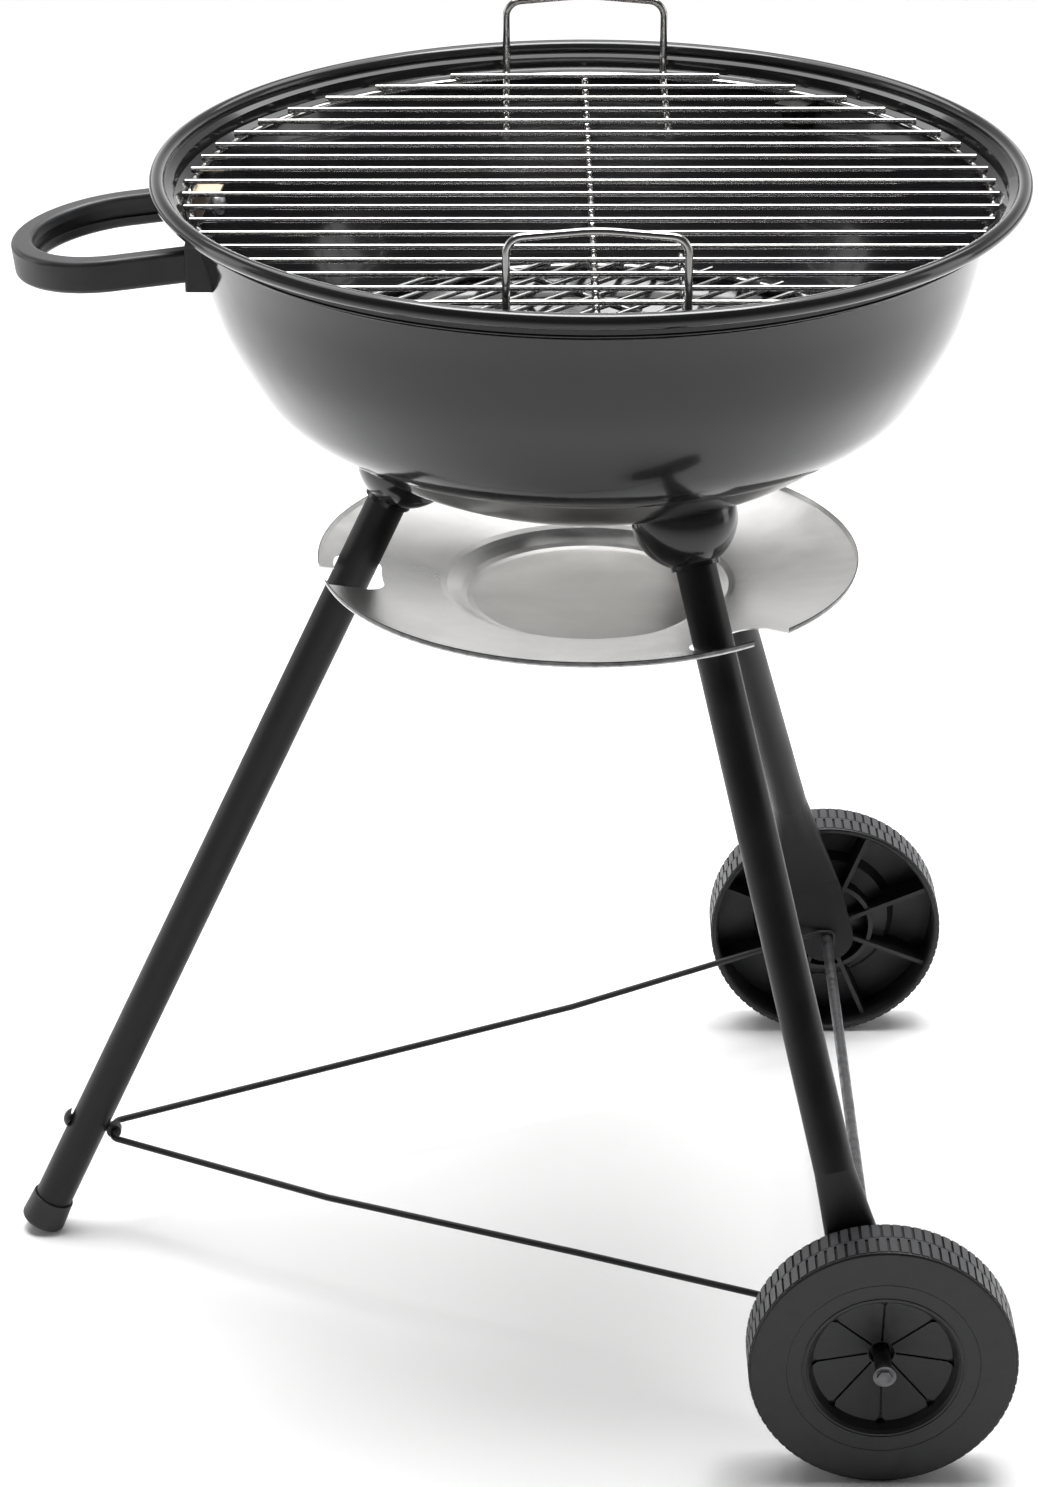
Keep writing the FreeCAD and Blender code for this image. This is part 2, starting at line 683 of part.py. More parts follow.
def wheel_cuts():
    """Blind radial slits with arrow ends, and a fine groove round the face."""
    low, high = SLIT_R
    line = [(low, 0.0), (high, 0.0)]
    line += [(r, dish_inset(r) + SLIT_DEPTH) for r in (high, low)]
    corners = [V(r, a, -SLIT_W / 2) for r, a in line + line[:1]]
    slit = Part.Face(Part.makePolygon(corners)).extrude(V(0, 0, SLIT_W))
    near, far = NOTCH_R
    plan = [V(near, 0, 0), V(far, 0, -NOTCH_HALF), V(far, 0, NOTCH_HALF), V(near, 0, 0)]
    notch = Part.Face(Part.makePolygon(plan)).extrude(ALONG_Y * (dish_inset(near) + SLIT_DEPTH - 1.0))
    cuts = [Part.makeTorus(52.0, 0.25, V(0, 0, 0), ALONG_Y)]
    for i in range(SPOKES):
        cuts += [turned(slit, i * 360.0 / SPOKES), turned(notch, i * 360.0 / SPOKES)]
    return cuts


def make_wheel(side):
    """Moulded wheel: dished face, slits, hub pocket, ribs behind and lugged tread."""
    width = WHEEL_WIDTH
    face = [(40.2, 1.6), (41.8, 0.0), (70.6, 0.0), (71.8, 0.5), (72.0, 1.4), (LUG_ROOT_R, 1.4)]
    back_edge = [(LUG_ROOT_R, 28.6), (72.0, 28.6), (71.6, 29.6), (70.6, width)]
    hollow = [(RIM_WALL_R + 1.0, width), (RIM_WALL_R, width - 1.4), (RIM_WALL_R, 4.0)]
    hub = [(44.6, 4.0), (40.5, 10.0), (HUB_R, 17.6), (HUB_R, width), (WHEEL_BORE_R, width)]
    pocket = [(WHEEL_BORE_R, HUB_POCKET_A), (HUB_POCKET_R, HUB_POCKET_A)]
    body = wheel_ring(pocket + DISH + face + back_edge + hollow + hub)
    behind = wheel_ring([(HUB_R - 0.6, 16.8), (40.2, 9.2), (44.0, 3.2), (RIM_WALL_R + 0.5, 3.2),
                         (RIM_WALL_R + 0.5, width - 6.0), (HUB_R - 0.6, width - 4.0)])
    inner, outer = RIB_RING
    rib_ring = wheel_ring([(inner, 11.4), (outer, 11.4), (outer, width - 6.0), (inner, width - 6.0)])
    rib = Part.makeBox(WHEEL_R - HUB_POCKET_R, width, RIB_T, V(HUB_POCKET_R, 0, -RIB_T / 2))
    ribs = [turned(rib, (i + 0.5) * 360.0 / SPOKES) for i in range(SPOKES)]
    ribs = behind.common(Part.makeCompound(ribs))
    rows = [lug_row(*row) for row in LUG_ROWS]
    bead = Part.makeTorus(43.4, 0.5, V(0, 0, 0), ALONG_Y)
    wheel = body.fuse([rib_ring, wheel_ring(LUG_RIDGE), bead] + ribs.Solids + rows).cut(wheel_cuts())
    if side > 0:
        wheel = wheel.mirror(V(0, 0, 0), ALONG_Y)
    wheel.translate(V(WHEEL_X, side * WHEEL_FACE_Y, WHEEL_R))
    return wheel


def make_tray():
    """Dished sheet tray with a curved slot and an open mouth for each leg."""
    lower = [(r, -z) for r, z in TRAY]
    upper = offset_side(lower, TRAY_T, (None, None))
    upper[-1] = (0.0, lower[-1][1] - TRAY_T)
    outline = [V(r, 0, TRAY_Z - d) for r, d in lower + upper[::-1]]
    outline.append(outline[0])
    tray = Part.Face(Part.makePolygon(outline)).revolve(V(0, 0, 0), UP, 360)
    cuts = []
    low = TRAY_Z - 30.0
    for azimuth in (FOOT_AZIMUTH, FRONT_AZIMUTH, REAR_AZIMUTH):
        leg_r = leg_point(azimuth, TRAY_SLOT_Z).x / math.cos(math.radians(azimuth))
        band = Part.makeCylinder(leg_r + SLOT_HALF, 60, V(0, 0, low), UP, SLOT_TURN)
        band = band.cut(Part.makeCylinder(leg_r - SLOT_HALF, 60, V(0, 0, low), UP, 360))
        band.rotate(V(0, 0, 0), UP, azimuth)
        cuts.append(band)
        for turn in (0.0, SLOT_TURN):
            cuts.append(Part.makeCylinder(SLOT_HALF, 60, polar(leg_r, azimuth + turn, low), UP))
        mouth = Part.makeBox(60, 2 * MOUTH_HALF, 60, V(leg_r, -MOUTH_HALF, low))
        mouth.rotate(V(0, 0, 0), UP, azimuth + SLOT_TURN)
        cuts.append(mouth)
    return tray.cut(cuts)


def loop_outline(half, reach, start, top):
    """D-shaped outline in the handle's own frame, x outward."""
    centre = reach - half
    a = V(-start, -half, top)
    b = V(-centre, -half, top)
    c = V(-centre, half, top)
    d = V(-start, half, top)
    edges = [Part.LineSegment(a, b).toShape(), Part.Arc(b, V(-reach, 0, top), c).toShape()]
    edges += [Part.LineSegment(c, d).toShape(), Part.LineSegment(d, a).toShape()]
    return Part.Wire(edges)


def make_handle(block):
    """Moulded D-shaped handle with a grooved inner face and two end blocks."""
    outer = Part.Face(loop_outline(HANDLE_OUT_Y, HANDLE_REACH, HANDLE_ROOT, 0.0))
    inner_reach = HANDLE_REACH - HANDLE_TIP
    inner = Part.Face(loop_outline(HANDLE_IN_Y, inner_reach, HANDLE_ROOT - 1.0, 0.0))
    loop = outer.cut(inner).extrude(UP * -HANDLE_H)
    rounded = []
    for edge in loop.Edges:
        flat = edge.BoundBox.ZLength < 0.01
        if flat and edge.BoundBox.XLength > 10:
            rounded.append(edge)
    loop = loop.makeFillet(HANDLE_EDGE_R, rounded)
    start, low, deep = GROOVE
    line = loop_outline(HANDLE_IN_Y + deep, inner_reach + deep, start + GROOVE_END, -start)
    loop = loop.cut(Part.Face(line).extrude(UP * (start - low)))
    loop.rotate(V(0, 0, 0), ALONG_Y, -HANDLE_DROOP)
    loop.translate(V(HANDLE_X, 0, HANDLE_Z))
    blocks = []
    for side in (-1, 1):
        y = BLOCK_Y[0] if side > 0 else -BLOCK_Y[1]
        corner = V(HANDLE_X, y, BLOCK_Z[0])
        box = Part.makeBox(BLOCK_X, BLOCK_Y[1] - BLOCK_Y[0], BLOCK_Z[1] - BLOCK_Z[0], corner)
        upright = [e for e in box.Edges if e.BoundBox.ZLength > 1 and e.CenterOfMass.x < HANDLE_X + 1]
        blocks.append(box.makeFillet(BLOCK_EDGE_R, upright))
    handle = loop.fuse(blocks)
    holes = []
    for side in (-1, 1):
        point, out = handle_bolt_frame(side)
        end = point + out * (HANDLE_BOLT_LENGTH + SHEET)
        holes.append(rod(point - out, end, HANDLE_BOLT_R + FIT))
    return handle.cut([block] + holes)


def make_handle_bolts():
    """Bolts from inside the bowl into the handle's end blocks."""
    bolts = []
    for side in (-1, 1):
        point, out = handle_bolt_frame(side)
        seat = point - out * (SHEET + HANDLE_SEAT_GAP + WASHER_H)
        shank = rod(seat, point + out * HANDLE_BOLT_LENGTH, HANDLE_BOLT_R)
        bolts.append(shank.fuse(dome(seat, out * -1, HANDLE_BOLT_HEAD_R, HANDLE_BOLT_HEAD_H)))
    return bolts


def make_handle_washers():
    """Washers under the handle bolts."""
    washers = []
    for side in (-1, 1):
        point, out = handle_bolt_frame(side)
        low = point - out * (SHEET + HANDLE_SEAT_GAP)
        washers.append(tube(low - out * WASHER_H, low, HANDLE_WASHER_R, HANDLE_BOLT_R + FIT))
    return washers


def make_tab(azimuth, bowl):
    """Folded sheet tab on the inner wall, under the cooking grate."""
    top = TAB_TOP_DEPTH
    fold_r = TAB_FOLD_R + TAB_T
    outer = [(TAB_OUTER_R, top), (TAB_REACH_R, top), (TAB_REACH_R, top + TAB_T)]
    outer += [(fold_r, top + TAB_T), (fold_r, top + TAB_FOLD_H)]
    foot_r, normal = wall_line(TAB_FOOT_DEPTH)
    outer += [(foot_r - SHEET - TAB_T, TAB_FOOT_DEPTH), (foot_r + WALL_PIERCE, TAB_FOOT_DEPTH)]
    edges = chain(outer + outer[:1])
    wire = Part.Wire(edges)
    tab = Part.Face(wire).revolve(V(0, 0, 0), UP, 2 * TAB_HALF_ANGLE)
    tab.rotate(V(0, 0, 0), UP, azimuth - TAB_HALF_ANGLE)
    shell = tab.cut(bowl)
    inside = [s for s in shell.Solids if s.CenterOfMass.z < RIM_Z]
    inside.sort(key=lambda s: math.hypot(s.CenterOfMass.x, s.CenterOfMass.y))
    return inside[0]


def bars(count, pitch, radius, wire_radius, overhang, z, turn):
    """Parallel bars across a ring."""
    made = []
    for i in range(count):
        y = (i - (count - 1) / 2) * pitch
        half = math.sqrt(radius * radius - y * y) + overhang
        bar = rod(V(-half, y, z), V(half, y, z), wire_radius)
        bar.rotate(V(0, 0, 0), UP, turn)
        made.append(bar)
    return made


def make_lift_handle(side):
    """Bent wire for lifting the cooking grate; its tails run under the bars."""
    low = RIM_Z - GRATE_BAR_DEPTH - GRATE_BAR_R - LIFT_WIRE_R
    high = low + LIFT_HEIGHT
    y = side * LIFT_Y
    tail = side * LIFT_TAIL_Y
    points = [V(-LIFT_X, tail, low), V(-LIFT_X, y, low), V(-LIFT_X, y, high)]
    points += [V(0, y, high + LIFT_ARCH), V(LIFT_X, y, high)]
    points += [V(LIFT_X, y, low), V(LIFT_X, tail, low)]
    bends = [LIFT_FOOT_R, LIFT_CORNER_R, LIFT_ARCH_R, LIFT_CORNER_R, LIFT_FOOT_R]
    return wire_along(rounded_path(points, bends), LIFT_WIRE_R)


def make_cross_wires():
    """Two wires that tie the charcoal bars together."""
    z = RIM_Z - COAL_RING_DEPTH
    inner_r = COAL_RING_R - GRATE_WIRE_R
    half = math.sqrt(inner_r ** 2 - (COAL_CROSS + GRATE_WIRE_R) ** 2) - 2 * WELD_GAP
    wires = []
    for x in (-COAL_CROSS, COAL_CROSS):
        wire = rod(V(x, -half, z), V(x, half, z), GRATE_WIRE_R)
        wire.rotate(V(0, 0, 0), UP, COAL_TURN)
        wires.append(wire)
    return wires


CAP_LEAN = math.atan(FOOT_SLOPE)
CAP_EDGE_IN = CAP_LOW_R - CAP_LOW_EDGE_R
CAP_REACH = (-leg_point(FOOT_AZIMUTH, CAP_LOW_Z).x - CAP_LOW_EDGE_R * math.sin(CAP_LEAN)
             + CAP_EDGE_IN * math.cos(CAP_LEAN) + CAP_LOW_EDGE_R)
AXIS_X = (CAP_REACH - BEAD_R - BEAD_WIRE_R) / 2


def save(name, made):
    """Write one solid, or a group of separate solids, as one node."""
    shape = Part.makeCompound(made) if isinstance(made, list) else made
    shape.translate(V(AXIS_X, 0, 0))
    shape.exportStep(os.path.join("parts", name + ".step"))
    box = shape.BoundBox
    print(name, len(shape.Solids), shape.isValid(), round(shape.Volume, 1),
          [round(x, 1) for x in (box.XMin, box.XMax, box.YMin, box.YMax, box.ZMin, box.ZMax)])


def main():
    """Build every node and write it to parts/."""
    os.makedirs("parts", exist_ok=True)
    block = bowl_block()
    bowl = make_bowl()
    nodes = {}
    for name, azimuth in (("foot", FOOT_AZIMUTH), ("front", FRONT_AZIMUTH), ("rear", REAR_AZIMUTH)):
        nodes["leg_socket_" + name] = make_socket(azimuth, block)
    nodes["leg_tube_foot"] = make_foot_leg()
    nodes["leg_tube_front"] = make_wheel_leg(FRONT_AZIMUTH)
    nodes["leg_tube_rear"] = make_wheel_leg(REAR_AZIMUTH)
    nodes["leg_plugs"] = make_plugs()
    nodes["socket_bolts"] = make_socket_bolts()
    nodes["socket_washers"] = make_socket_washers()
    nodes["foot_cap"] = make_foot_cap()
    nodes["brace_bolt"] = make_brace_bolt()
    nodes["brace_nut"] = make_brace_nut()
    nodes["leg_brace"] = make_brace()
    nodes["axle"] = make_axle()
    nodes["axle_spacers"] = make_axle_spacers()
    nodes["axle_nuts"] = make_axle_nuts()
    nodes["wheel_front"] = make_wheel(-1)
    nodes["wheel_rear"] = make_wheel(1)
    nodes["ash_tray"] = make_tray()
    nodes["handle"] = make_handle(block)
    nodes["handle_bolts"] = make_handle_bolts()
    nodes["handle_washers"] = make_handle_washers()
    for number, azimuth in enumerate(TAB_AZIMUTHS, 1):
        nodes["grate_tab_" + str(number)] = make_tab(azimuth, bowl)
    bar_z = RIM_Z - GRATE_BAR_DEPTH
    ring_z = RIM_Z - GRATE_RING_DEPTH
    nodes["cooking_bars"] = bars(GRATE_BARS, GRATE_PITCH, GRATE_RING_R, GRATE_BAR_R,
                                 GRATE_OVERHANG, bar_z, 0)
    nodes["cooking_ring"] = ring(GRATE_RING_R, GRATE_WIRE_R, ring_z)
    spine = GRATE_RING_R - GRATE_WIRE_R - WELD_GAP
    nodes["cooking_spine"] = rod(V(0, -spine, ring_z), V(0, spine, ring_z), GRATE_WIRE_R)
    nodes["lift_handle_front"] = make_lift_handle(-1)
    nodes["lift_handle_rear"] = make_lift_handle(1)
    nodes["charcoal_bars"] = bars(COAL_BARS, COAL_PITCH, COAL_RING_R, GRATE_BAR_R,
                                  COAL_OVERHANG, RIM_Z - COAL_BAR_DEPTH, COAL_TURN)
    nodes["charcoal_ring"] = ring(COAL_RING_R, GRATE_WIRE_R, RIM_Z - COAL_RING_DEPTH)
    nodes["charcoal_cross_wires"] = make_cross_wires()
    nodes["bowl"] = bowl
    for name, made in nodes.items():
        save(name, made)


main()
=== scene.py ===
"""Looks of the kettle charcoal grill: materials, small moulded and welded detail, studio and camera.

Everything is in metres, in the part's own frame: +Z up, +X towards the wheels, origin on the ground.
"""

import json
import math

import bmesh
import bpy
from mathutils import Matrix, Vector


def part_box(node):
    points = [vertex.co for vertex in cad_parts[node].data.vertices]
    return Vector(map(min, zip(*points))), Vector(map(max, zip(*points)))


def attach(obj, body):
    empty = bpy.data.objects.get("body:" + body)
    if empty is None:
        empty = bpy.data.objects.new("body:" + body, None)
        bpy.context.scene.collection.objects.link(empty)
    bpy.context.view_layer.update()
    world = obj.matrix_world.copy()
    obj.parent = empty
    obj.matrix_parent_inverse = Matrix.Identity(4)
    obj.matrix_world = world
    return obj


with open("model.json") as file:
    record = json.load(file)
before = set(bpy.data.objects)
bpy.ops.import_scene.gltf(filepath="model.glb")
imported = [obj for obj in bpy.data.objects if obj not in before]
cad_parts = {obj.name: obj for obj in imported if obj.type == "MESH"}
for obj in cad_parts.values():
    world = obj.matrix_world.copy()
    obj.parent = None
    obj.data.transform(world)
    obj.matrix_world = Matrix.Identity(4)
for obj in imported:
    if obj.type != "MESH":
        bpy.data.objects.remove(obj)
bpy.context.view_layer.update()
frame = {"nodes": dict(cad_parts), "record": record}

nodes = frame["nodes"]
bowl_low, bowl_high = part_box("bowl")
AXIS = Vector(((bowl_low.x + bowl_high.x) / 2, 0.0, 0.0))

# Rolled rim: radius of its tube, and how far the enamel stands over it
RIM_WIRE = 0.0042
RIM_SKIN = 0.00015

# Grates: bar counts and pitches, turn of the charcoal grate in degrees, place of its cross wires
COOKING_BARS = 20
COOKING_PITCH = 0.0212
CHARCOAL_BARS = 23
CHARCOAL_PITCH = 0.015
CHARCOAL_TURN = 45.0
CHARCOAL_CROSS = 0.086

# Weld nuggets: half length, half width, half height
RING_WELD = (0.0036, 0.0016, 0.0011)
SPINE_WELD = (0.0024, 0.0021, 0.0009)
CHARCOAL_WELD = (0.0034, 0.0016, 0.0011)

# Radii on a wheel as shares of its width: lug tops, slot floors, edge of the disc, width of a change; lug
# tops get a painted highlight and slot floors a painted shade
TREAD_TOP = 0.4975
TREAD_ROOT = 0.4945
TREAD_EDGE = 0.4885
TREAD_STEP = 0.0008

# Radii on the tray as shares of its width: the pan's floor and edge, and the outer edge painted dark as a
# painted reflection of the dark room in front
PAN_FLOOR = 0.16
PAN_EDGE = 0.25
HEM_REFLECTION_STARTS = 0.4968
HEM_REFLECTION_FULL = 0.4985

# Soot on the tabs, from the handle's side to the wheels' side, along X
SOOT_STARTS = -0.12
SOOT_FULL = 0.05

# Lights: name, centre, point that it faces, width, height, power in watts
LIGHTS = [
    ("overhead", (0.05, 1.15, 2.7), (0.05, 0.75, 0.0), 3.4, 2.6, 95),
    ("top_box", (0.05, 0.1, 2.3), (0.05, 0.1, 0.5), 1.5, 0.8, 65),
    ("left_box", (-2.3, 0.5, 0.9), (AXIS.x, 0.0, 0.4), 0.7, 1.8, 7),
    ("right_box", (2.4, 0.3, 0.9), (AXIS.x, 0.0, 0.4), 0.7, 1.8, 7),
]

# Room: brightness and direction where it is darkest and brightest, by depth (Y) and by height (Z)
ROOM_FRONT = (0.13, -0.35)
ROOM_BACK = (1.0, 0.6)
ROOM_HORIZON = (1.6, 0.1)
ROOM_CEILING = (0.4, 0.38)

# Camera: place, degrees below the horizon, degrees of turn, lens in millimetres
CAMERA_AT = Vector((0.0057, -2.3691, 1.4338))
CAMERA_DOWN = 25.258
CAMERA_TURN = -0.111
CAMERA_LENS = 112.35


# ---------------------------------------------------------------- materials

def new_material(name, colour, roughness, metallic=0.0, **sockets):
    """A material with one Principled shader; returns its node tree and the shader."""
    material = bpy.data.materials.new(name)
    material.use_nodes = True
    tree = material.node_tree
    shader = tree.nodes["Principled BSDF"]
    shader.inputs["Base Color"].default_value = (*colour, 1.0)
    shader.inputs["Roughness"].default_value = roughness
    shader.inputs["Metallic"].default_value = metallic
    for socket, value in sockets.items():
        shader.inputs[socket.replace("_", " ")].default_value = value
    return material, tree, shader


def place(tree, scale=(1.0, 1.0, 1.0)):
    """Object coordinates in metres, stretched by a scale."""
    coordinates = tree.nodes.new("ShaderNodeTexCoord")
    mapping = tree.nodes.new("ShaderNodeMapping")
    mapping.inputs["Scale"].default_value = scale
    tree.links.new(coordinates.outputs["Object"], mapping.inputs["Vector"])
    return mapping.outputs["Vector"]


def noise(tree, where, size, detail=3.0, distortion=0.0):
    """Noise whose patches are about size metres across."""
    texture = tree.nodes.new("ShaderNodeTexNoise")
    texture.inputs["Scale"].default_value = 1.0 / size
    texture.inputs["Detail"].default_value = detail
    texture.inputs["Distortion"].default_value = distortion
    tree.links.new(where, texture.inputs["Vector"])
    return texture.outputs["Fac"]


def spread(tree, value, low, high, start=0.3, end=0.7):
    """Maps a value between start and end to a number between low and high."""
    node = tree.nodes.new("ShaderNodeMapRange")
    node.inputs["From Min"].default_value = start
    node.inputs["From Max"].default_value = end
    node.inputs["To Min"].default_value = low
    node.inputs["To Max"].default_value = high
    tree.links.new(value, node.inputs["Value"])
    return node.outputs["Result"]


def blend_colours(tree, value, first, second, start=0.3, end=0.7):
    """Two colours mixed by a value."""
    ramp = tree.nodes.new("ShaderNodeValToRGB")
    ramp.color_ramp.elements[0].position = start
    ramp.color_ramp.elements[0].color = (*first, 1.0)
    ramp.color_ramp.elements[1].position = end
    ramp.color_ramp.elements[1].color = (*second, 1.0)
    tree.links.new(value, ramp.inputs["Fac"])
    return ramp.outputs["Color"]


def bump(tree, shader, height, depth, strength):
    """Surface relief of a depth in metres."""
    node = tree.nodes.new("ShaderNodeBump")
    node.inputs["Distance"].default_value = depth
    node.inputs["Strength"].default_value = strength
    tree.links.new(height, node.inputs["Height"])
    tree.links.new(node.outputs["Normal"], shader.inputs["Normal"])


def enamel(name, colour, roughness, peel):
    """Fired enamel: deep gloss, slightly clouded, over a very faint orange peel."""
    material, tree, shader = new_material(name, colour, roughness, Specular_IOR_Level=0.34,
                                          Coat_Weight=0.18, Coat_Roughness=0.03)
    where = place(tree)
    clouds = noise(tree, where, 0.045, 4.0)
    tint = tuple(c * 1.35 + 0.001 for c in colour)
    tree.links.new(blend_colours(tree, clouds, colour, tint), shader.inputs["Base Color"])
    tree.links.new(spread(tree, clouds, roughness * 0.85, roughness * 1.2), shader.inputs["Roughness"])
    bump(tree, shader, noise(tree, where, 0.0035, 2.0), peel, 0.5)
    return material


def powder_paint(name, colour, roughness):
    """Satin powder paint with a fine grain and slight cloudiness."""
    material, tree, shader = new_material(name, colour, roughness, Specular_IOR_Level=0.24)
    where = place(tree)
    clouds = noise(tree, where, 0.03, 4.0)
    tint = tuple(c * 1.5 + 0.002 for c in colour)
    tree.links.new(blend_colours(tree, clouds, colour, tint), shader.inputs["Base Color"])
    tree.links.new(spread(tree, clouds, roughness - 0.06, roughness + 0.08), shader.inputs["Roughness"])
    bump(tree, shader, noise(tree, where, 0.0009, 2.0), 0.00004, 0.6)
    return material


def moulded_plastic(name, colour, roughness, grain):
    """Injection-moulded black plastic: spark-eroded grain and faint flow marks."""
    material, tree, shader = new_material(name, colour, roughness, Specular_IOR_Level=0.35)
    flow = noise(tree, place(tree, (1.0, 0.35, 1.0)), 0.02, 5.0, 0.6)
    tint = tuple(c * 1.6 + 0.003 for c in colour)
    tree.links.new(blend_colours(tree, flow, colour, tint), shader.inputs["Base Color"])
    tree.links.new(spread(tree, flow, roughness - 0.07, roughness + 0.1), shader.inputs["Roughness"])
    bump(tree, shader, noise(tree, place(tree), 0.0006, 1.5), grain, 0.7)
    return material


def chrome_wire(name, colour, roughness, stain):
    """Chromed steel wire: bright, clouded by use, with a faint warm stain."""
    material, tree, shader = new_material(name, colour, roughness, 1.0)
    clouds = noise(tree, place(tree), 0.02, 1.0)
    tree.links.new(blend_colours(tree, clouds, colour, stain, 0.45, 0.85), shader.inputs["Base Color"])
    tree.links.new(spread(tree, clouds, roughness * 0.7, roughness * 1.7), shader.inputs["Roughness"])
    return material


def plated_steel(name, colour, roughness):
    """Zinc-plated steel with fine scratches and dull patches."""
    material, tree, shader = new_material(name, colour, roughness, 0.95)
    clouds = noise(tree, place(tree), 0.006, 4.0)
    dull_and_dark_reflection = tuple(c * 0.7 for c in colour)
    tree.links.new(blend_colours(tree, clouds, colour, dull_and_dark_reflection, 0.4, 0.8), shader.inputs["Base Color"])
    tree.links.new(spread(tree, clouds, roughness * 0.8, roughness * 1.5), shader.inputs["Roughness"])
    bump(tree, shader, noise(tree, place(tree, (1.0, 12.0, 12.0)), 0.004, 3.0), 0.00003, 0.5)
    return material


def mix(tree, share, first, second):
    """Two colour sockets mixed by a share between 0 and 1."""
    node = tree.nodes.new("ShaderNodeMix")
    node.data_type = "RGBA"
    tree.links.new(share, node.inputs["Factor"])
    tree.links.new(first, node.inputs["A"])
    tree.links.new(second, node.inputs["B"])
    return node.outputs["Result"]


def tab_steel(name):
    """Zinc tabs: golden and clean by the handle, sooted over towards the wheels."""
    material, tree, shader = new_material(name, (0.7, 0.6, 0.45), 0.35, 0.9)
    clouds = noise(tree, place(tree), 0.006, 4.0)
    clean = blend_colours(tree, clouds, (0.72, 0.63, 0.48), (0.5, 0.43, 0.32), 0.4, 0.8)
    soot = blend_colours(tree, clouds, (0.02, 0.019, 0.018), (0.05, 0.047, 0.044), 0.4, 0.8)
    split = tree.nodes.new("ShaderNodeSeparateXYZ")
    tree.links.new(place(tree), split.inputs["Vector"])
    sooted = spread(tree, split.outputs["X"], 0.0, 1.0, SOOT_STARTS, SOOT_FULL)
    tree.links.new(mix(tree, sooted, clean, soot), shader.inputs["Base Color"])
    tree.links.new(spread(tree, clouds, 0.3, 0.5), shader.inputs["Roughness"])
    return material


def from_middle(tree, plane=(1.0, 1.0, 0.0)):
    """Distance from the middle of a round node in a plane, as a share of its width."""
    coordinates = tree.nodes.new("ShaderNodeTexCoord")
    shift = tree.nodes.new("ShaderNodeVectorMath")
    shift.operation = "SUBTRACT"
    shift.inputs[1].default_value = (0.5, 0.5, 0.5)
    tree.links.new(coordinates.outputs["Generated"], shift.inputs[0])
    flatten = tree.nodes.new("ShaderNodeVectorMath")
    flatten.operation = "MULTIPLY"
    flatten.inputs[1].default_value = plane
    tree.links.new(shift.outputs["Vector"], flatten.inputs[0])
    length = tree.nodes.new("ShaderNodeVectorMath")
    length.operation = "LENGTH"
    tree.links.new(flatten.outputs["Vector"], length.inputs[0])
    return length.outputs["Value"]


def tyre_plastic(name, colour, roughness):
    """Wheel plastic: lugs painted paler as a painted highlight from the light above, slots painted dark as
    painted shade, and a grained disc.
    """
    material, tree, shader = new_material(name, colour, roughness, Specular_IOR_Level=0.35)
    flow = noise(tree, place(tree, (1.0, 0.35, 1.0)), 0.02, 5.0, 0.6)
    disc = blend_colours(tree, flow, colour, tuple(c * 1.6 + 0.003 for c in colour))
    # lug tops: painted highlight, paler where the light from above falls; slots: painted shade, near black
    lug_highlight = blend_colours(tree, flow, tuple(c * 2.6 for c in colour), tuple(c * 3.8 for c in colour))
    slot = blend_colours(tree, flow, (0.001, 0.001, 0.001), (0.003, 0.003, 0.003))
    radius = from_middle(tree, (1.0, 0.0, 1.0))
    # masks by radius: lug tops for the painted highlight, slot floors for the painted shade
    lug_highlight_mask = spread(tree, radius, 0.0, 1.0, TREAD_TOP - TREAD_STEP, TREAD_TOP)
    slot_shade_mask = spread(tree, radius, 1.0, 0.0, TREAD_ROOT, TREAD_ROOT + TREAD_STEP)
    edge = spread(tree, radius, 0.0, 1.0, TREAD_EDGE, TREAD_EDGE + TREAD_STEP)
    outer = mix(tree, slot_shade_mask, mix(tree, lug_highlight_mask, disc, lug_highlight), slot)
    tree.links.new(mix(tree, edge, disc, outer), shader.inputs["Base Color"])
    tree.links.new(spread(tree, flow, roughness - 0.1, roughness + 0.08), shader.inputs["Roughness"])
    bump(tree, shader, noise(tree, place(tree), 0.0006, 1.5), 0.00004, 0.7)
    return material


def galvanised_sheet(name):
    """Tray sheet: soft zinc clouds, a warmer pan and an outer edge painted dark as a painted reflection.
    """
    material, tree, shader = new_material(name, (0.7, 0.7, 0.7), 0.34, 0.85)
    clouds = noise(tree, place(tree), 0.05, 5.0, 0.4)
    fine = noise(tree, place(tree, (1.0, 4.0, 1.0)), 0.01, 4.0)
    cool = blend_colours(tree, clouds, (0.7, 0.695, 0.685), (0.92, 0.912, 0.9), 0.35, 0.65)
    warm = blend_colours(tree, clouds, (0.84, 0.81, 0.77), (0.97, 0.95, 0.92), 0.35, 0.65)
    radius = from_middle(tree)
    inner = spread(tree, radius, 1.0, 0.0, PAN_FLOOR, PAN_EDGE)
    # outer edge: painted reflection, a dark grey standing in for the dark room mirrored in the hem
    hem_reflection = spread(tree, radius, 0.0, 1.0, HEM_REFLECTION_STARTS, HEM_REFLECTION_FULL)
    dull_and_dark_reflection = blend_colours(tree, fine, (0.05, 0.05, 0.052), (0.11, 0.11, 0.112))
    sheet = mix(tree, inner, cool, warm)
    tree.links.new(mix(tree, hem_reflection, sheet, dull_and_dark_reflection), shader.inputs["Base Color"])
    tree.links.new(spread(tree, clouds, 0.27, 0.42), shader.inputs["Roughness"])
    bump(tree, shader, fine, 0.00001, 0.4)
    return material


